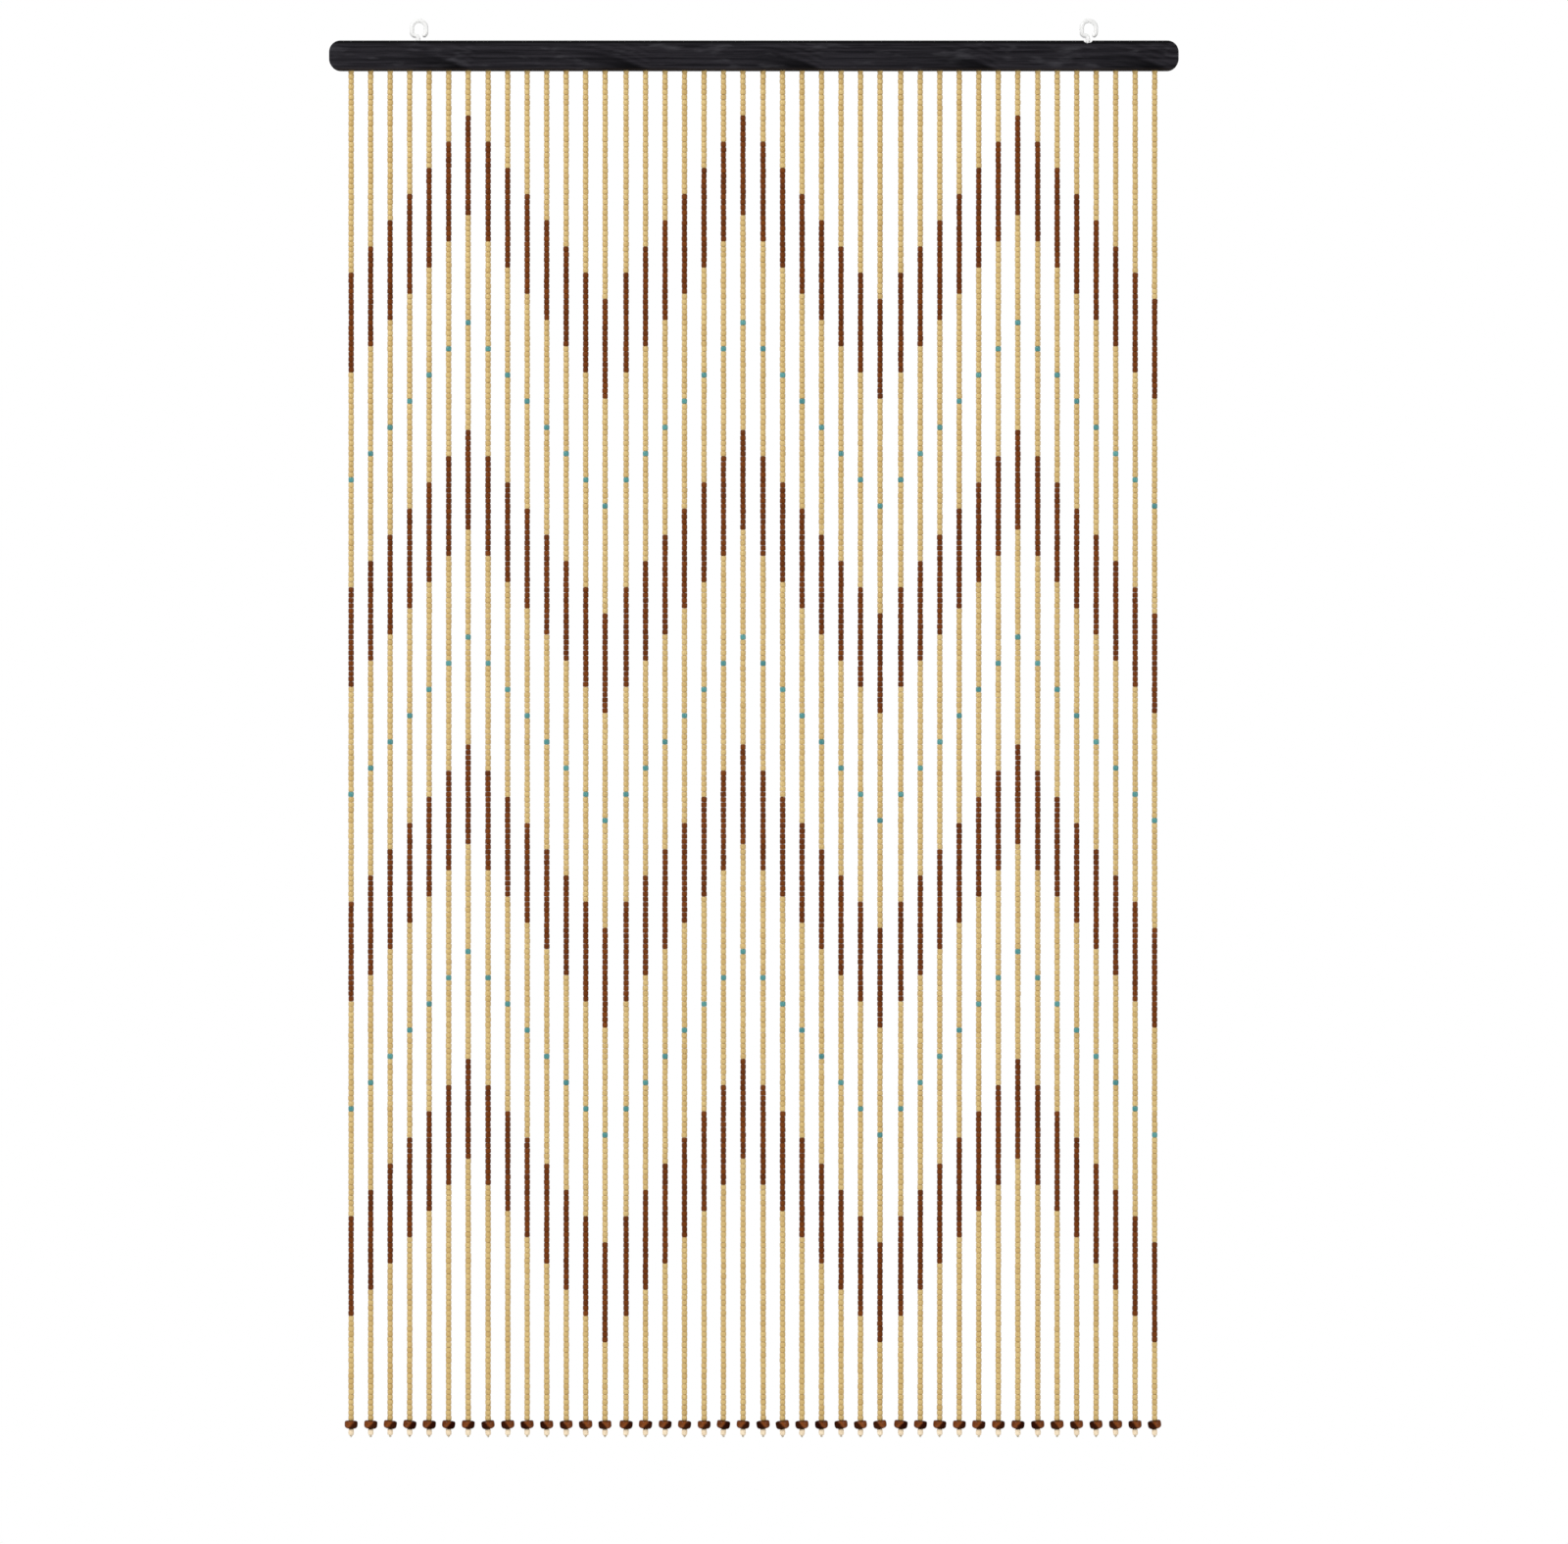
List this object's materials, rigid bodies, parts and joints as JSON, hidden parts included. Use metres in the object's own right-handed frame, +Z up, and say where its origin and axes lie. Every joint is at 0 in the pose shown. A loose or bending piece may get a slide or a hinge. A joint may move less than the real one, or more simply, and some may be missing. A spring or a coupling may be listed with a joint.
{
  "type": "bead curtain",
  "caption": "Door curtain of thin wooden bead strings in a zigzag band pattern, hung from a black wooden header slat with screw eyes.",
  "frame": {"origin": "midway between the two places, inside the tops of the screw eyes' rings, where they bear on their hooks or nails", "axes": "+X to the curtain's right as seen from the front, +Y to the back, towards the wall or doorway, +Z up"},
  "size_m": [0.9, 0.015, 1.5027],
  "materials": {
    "header_wood": "black stained, satin",
    "bead_natural": "natural, lightly polished",
    "bead_brown": "brown stained, polished",
    "bead_turquoise": "turquoise stained, polished",
    "end_bead_brown": "dark brown, lacquered",
    "stopper_pale": "bare pale wood",
    "thread": "waxed cotton",
    "eye_white": "white enamel, glossy"
  },
  "bodies": {
    "root": {"header": "header_wood", "bead_fringe": "bead_natural", "screw_eye_left": "eye_white", "screw_eye_right": "eye_white"}
  },
  "joints": []
}
